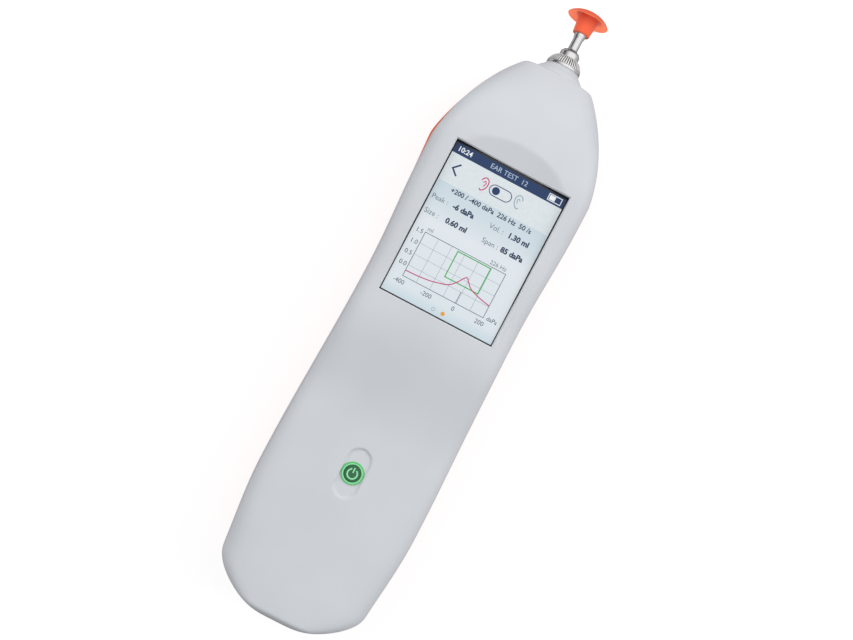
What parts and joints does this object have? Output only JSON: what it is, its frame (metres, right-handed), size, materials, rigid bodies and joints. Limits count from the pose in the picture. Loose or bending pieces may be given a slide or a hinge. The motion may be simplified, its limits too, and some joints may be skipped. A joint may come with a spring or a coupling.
{
  "type": "handheld tympanometer",
  "caption": "Handheld middle-ear tester with a touch screen, a green power button and a metal probe with a soft umbrella ear tip on a knurled ring.",
  "frame": {"origin": "middle of the length and width, at the flat back that it lies on", "axes": "+Y along the body from the foot end to the ear tip, +Z out of the screen, +X to the right of someone who looks at the screen with the probe upwards"},
  "size_m": [0.0642, 0.249, 0.0382],
  "materials": {
    "white_shell": "satin moulded",
    "orange_shell": "satin moulded",
    "steel": "machined",
    "chrome": "polished",
    "screen_glass": "polished, lit display behind it",
    "gasket_foam": "matt",
    "panel": "smooth",
    "black_plastic": "moulded",
    "film": "smooth",
    "board": "solder mask",
    "chip": "moulded",
    "ivory_plastic": "moulded",
    "green_light": "translucent",
    "green_button": "translucent",
    "battery_wrap": "shrink wrap",
    "gold": "gold plated",
    "gear_plastic": "moulded",
    "clear_plastic": "smooth",
    "seal_rubber": "matt",
    "ear_silicone": "translucent soft silicone"
  },
  "bodies": {
    "root": {"front_cover": "white_shell", "rear_cover": "orange_shell", "nose_collar": "white_shell", "battery_door": "orange_shell", "cover_screws": "steel", "door_screw": "steel", "touch_glass": "screen_glass", "display_gasket": "gasket_foam", "display_panel": "panel", "display_carrier": "black_plastic", "display_flex": "film", "main_board": "board", "board_screws": "steel", "board_chips": "chip", "radio_module": "steel", "pressure_sensor": "ivory_plastic", "light_ring": "green_light", "button_switch": "steel", "button_board": "board", "battery_pack": "battery_wrap", "battery_contacts": "gold", "charge_contacts": "gold", "pump_bracket": "steel", "pump_motor": "steel", "pump_cylinder": "clear_plastic", "pump_tube": "clear_plastic", "probe_block": "black_plastic", "receiver": "steel", "microphone": "steel", "relief_valve": "ivory_plastic", "probe_seal": "seal_rubber"},
    "button": {"power_button": "green_button"},
    "motor_rotor": {"motor_shaft": "steel", "motor_gear": "gear_plastic"},
    "screw_rotor": {"lead_screw": "steel", "screw_gear": "gear_plastic"},
    "piston": {"pump_piston": "ivory_plastic", "piston_seal": "seal_rubber"},
    "probe_head": {"probe_tip": "chrome"},
    "ring": {"knurled_ring": "chrome"},
    "soft_tip": {"ear_tip": "ear_silicone"}
  },
  "joints": [
    {"name": "button_press", "type": "slide", "parent": "root", "child": "button", "axis": [0, 0, -1], "range_m": [0, 0.0006], "stiffness_N_per_m": 800, "springref_m": -0.0005},
    {"name": "screw_turn", "type": "hinge", "parent": "root", "child": "screw_rotor", "pos_m": [0.006, 0.03, 0.013], "axis": [0, 1, 0], "range_deg": [0, 4320]},
    {"name": "motor_turn", "type": "hinge", "parent": "root", "child": "motor_rotor", "pos_m": [-0.003, 0.03, 0.013], "axis": [0, 1, 0], "range_deg": [-8640, 0]},
    {"name": "piston_travel", "type": "slide", "parent": "root", "child": "piston", "axis": [0, 1, 0], "range_m": [0, 0.012]},
    {"name": "tip_travel", "type": "slide", "parent": "root", "child": "probe_head", "axis": [0, 1, 0], "range_m": [0, 0.003]},
    {"name": "ring_turn", "type": "hinge", "parent": "probe_head", "child": "ring", "pos_m": [0, 0.104, 0.017], "axis": [0, 1, 0], "range_deg": [0, 1440]},
    {"name": "ear_tip_pull", "type": "slide", "parent": "probe_head", "child": "soft_tip", "axis": [0, 1, 0], "range_m": [0, 0.008]}
  ],
  "couplings": [
    {"joint": "screw_turn", "follows": "piston_travel", "rad_per_m": 6283.2},
    {"joint": "motor_turn", "follows": "piston_travel", "rad_per_m": -12566},
    {"joint": "ring_turn", "follows": "tip_travel", "rad_per_m": 8377.6}
  ]
}
